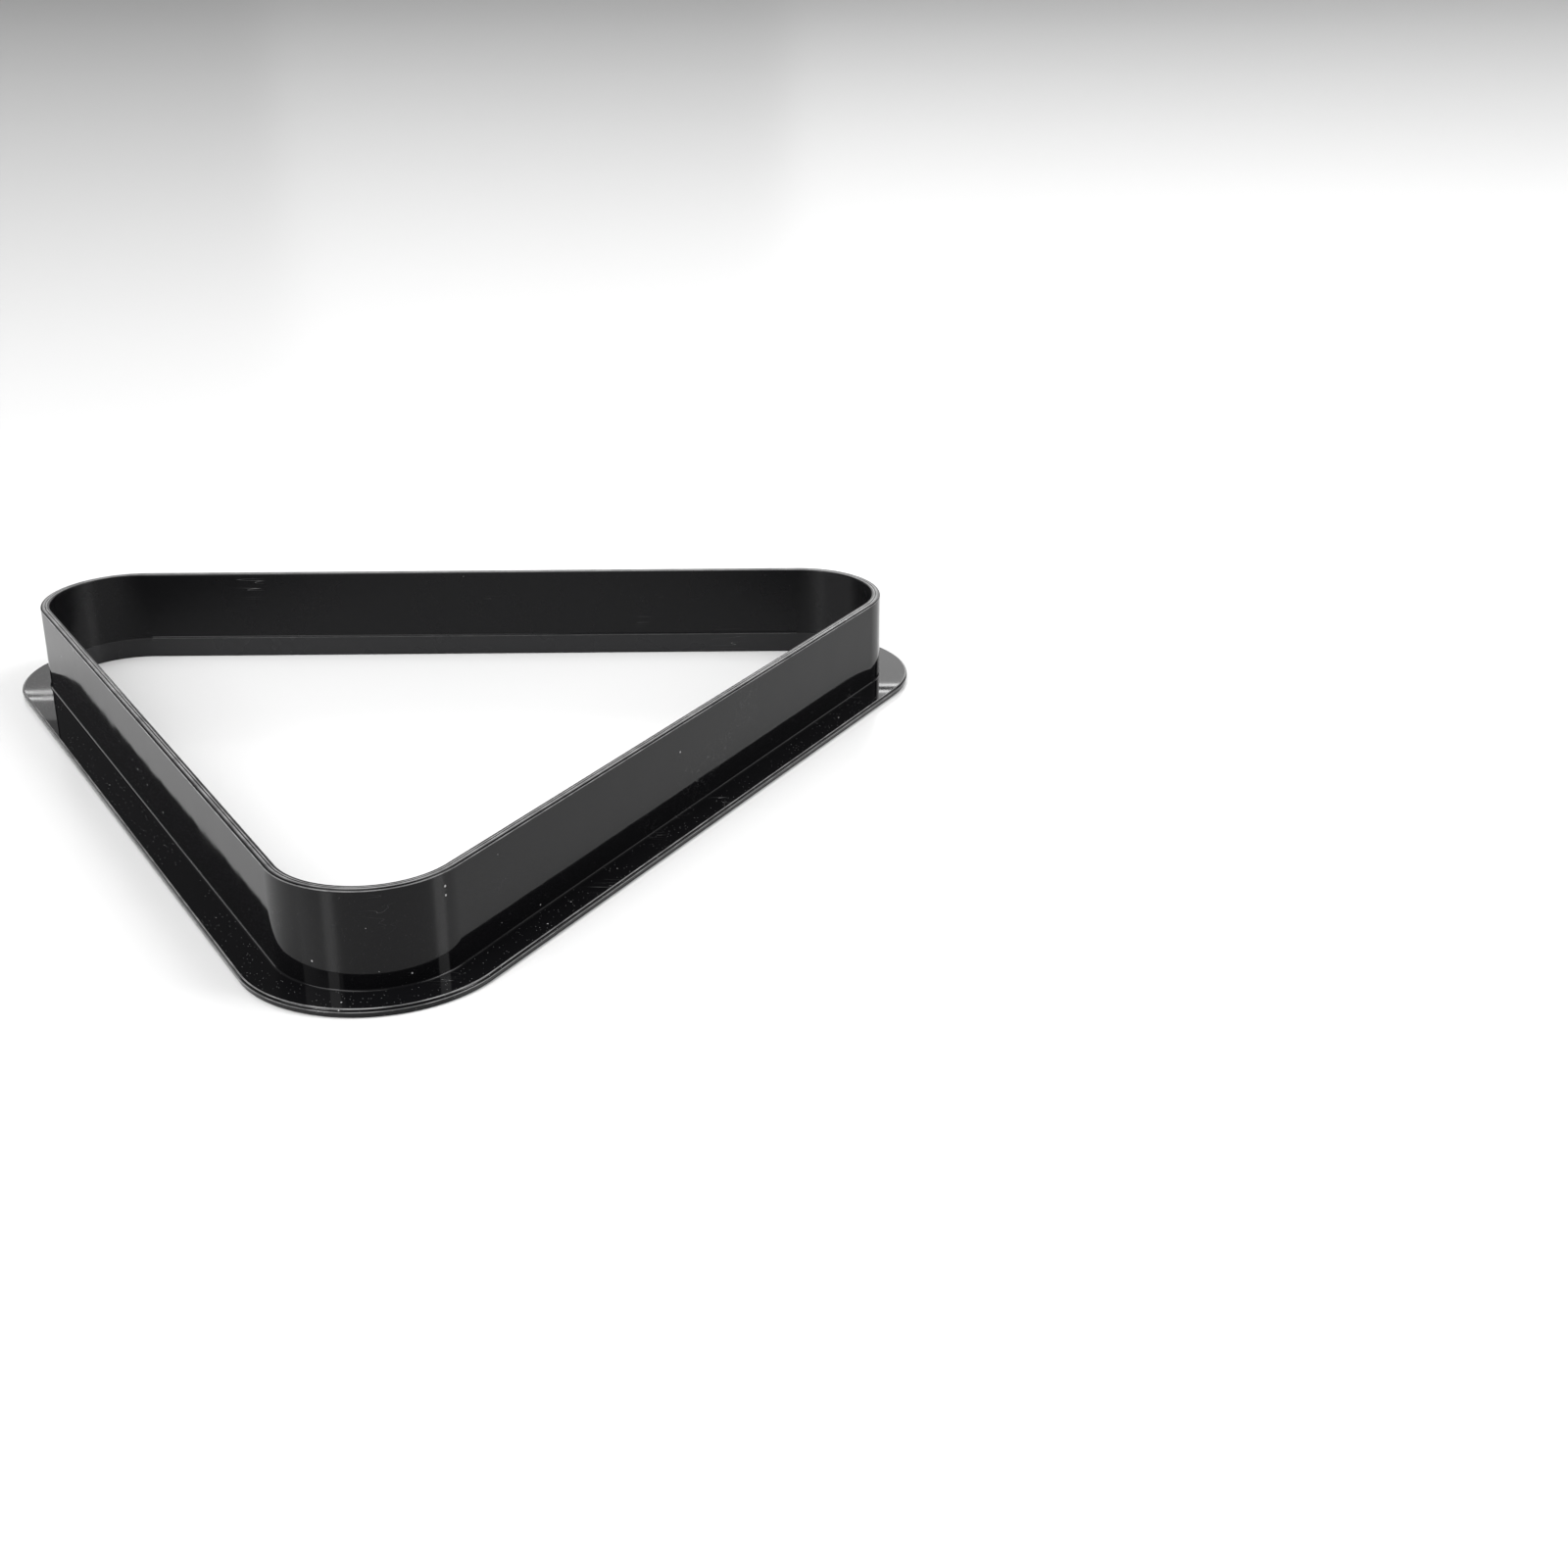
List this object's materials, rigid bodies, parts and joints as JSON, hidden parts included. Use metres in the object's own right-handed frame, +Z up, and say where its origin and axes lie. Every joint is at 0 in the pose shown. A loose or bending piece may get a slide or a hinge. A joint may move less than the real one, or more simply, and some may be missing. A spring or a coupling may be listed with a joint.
{
  "type": "billiard triangle rack",
  "caption": "Rounded triangle rack: a thin upright wall with a flat flange round its foot, open at top and bottom, that gathers a pack of pool balls on the table.",
  "frame": {"origin": "middle of the footprint's bounding box, on the table", "axes": "+Z up, the apex corner towards -Y and the straight back wall towards +Y, +X along the back wall"},
  "size_m": [0.3168, 0.2848, 0.0318],
  "materials": {
    "rack_plastic": "glossy black moulded plastic with faint specks and rub marks"
  },
  "bodies": {
    "root": {"rail_back": "rack_plastic", "flange_back": "rack_plastic", "rail_left": "rack_plastic", "flange_left": "rack_plastic", "rail_right": "rack_plastic", "flange_right": "rack_plastic", "corner_front": "rack_plastic", "flange_corner_front": "rack_plastic", "corner_left": "rack_plastic", "flange_corner_left": "rack_plastic", "corner_right": "rack_plastic", "flange_corner_right": "rack_plastic"}
  },
  "joints": []
}
